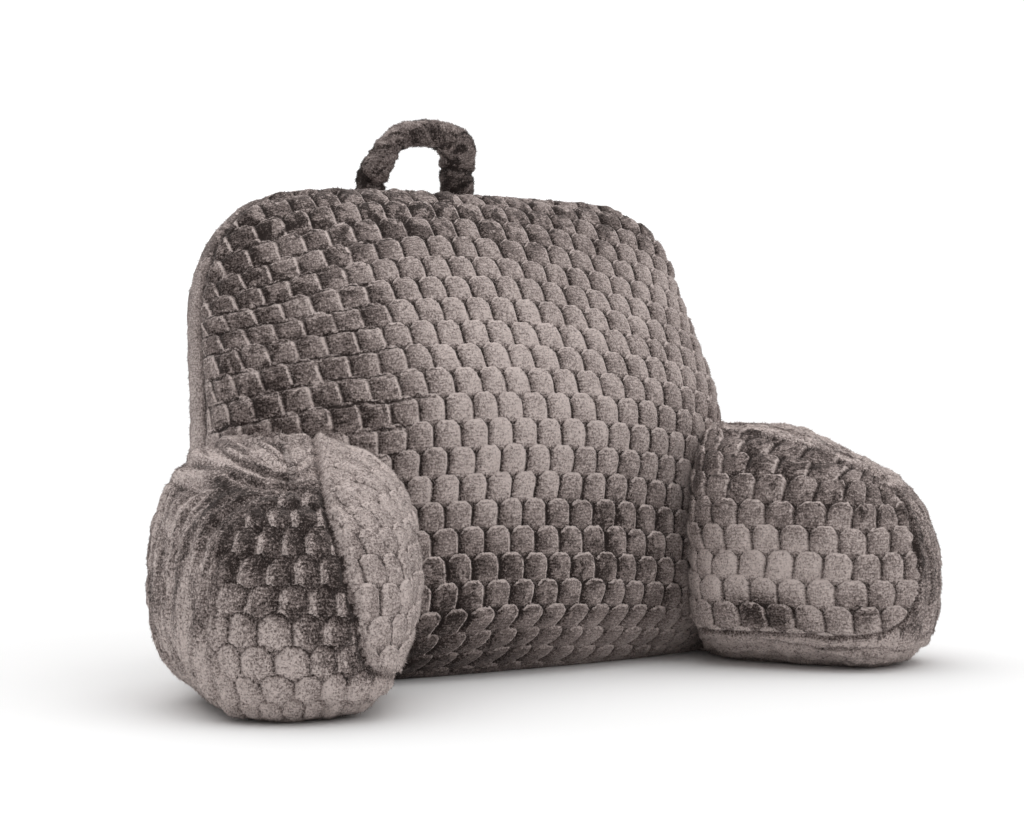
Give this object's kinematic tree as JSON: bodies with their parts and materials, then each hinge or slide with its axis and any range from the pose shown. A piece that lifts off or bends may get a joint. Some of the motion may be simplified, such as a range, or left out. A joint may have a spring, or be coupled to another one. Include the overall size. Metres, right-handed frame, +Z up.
{
  "type": "reading pillow with arms",
  "caption": "Plush reading pillow: a leaning back cushion with a stuffed arm on each side and a soft carrying handle on its top rear edge.",
  "frame": {"origin": "middle of the pillow's footprint box, on the surface it stands on", "axes": "+X to the sitter's left, seen from the front as the right, along the widest extent; +Y to the rear, away from the sitter; +Z up"},
  "size_m": [0.8354, 0.42, 0.5518],
  "materials": {
    "back_plush": "soft plush pile, matte, with a raised tile pattern",
    "arm_right_plush": "soft plush pile, matte, with a raised tile pattern",
    "arm_left_plush": "soft plush pile, matte, with a raised tile pattern",
    "handle_plush": "soft plush pile, matte"
  },
  "bodies": {
    "root": {"back_cushion": "back_plush", "arm_right": "arm_right_plush", "arm_left": "arm_left_plush", "handle": "handle_plush"}
  },
  "joints": []
}
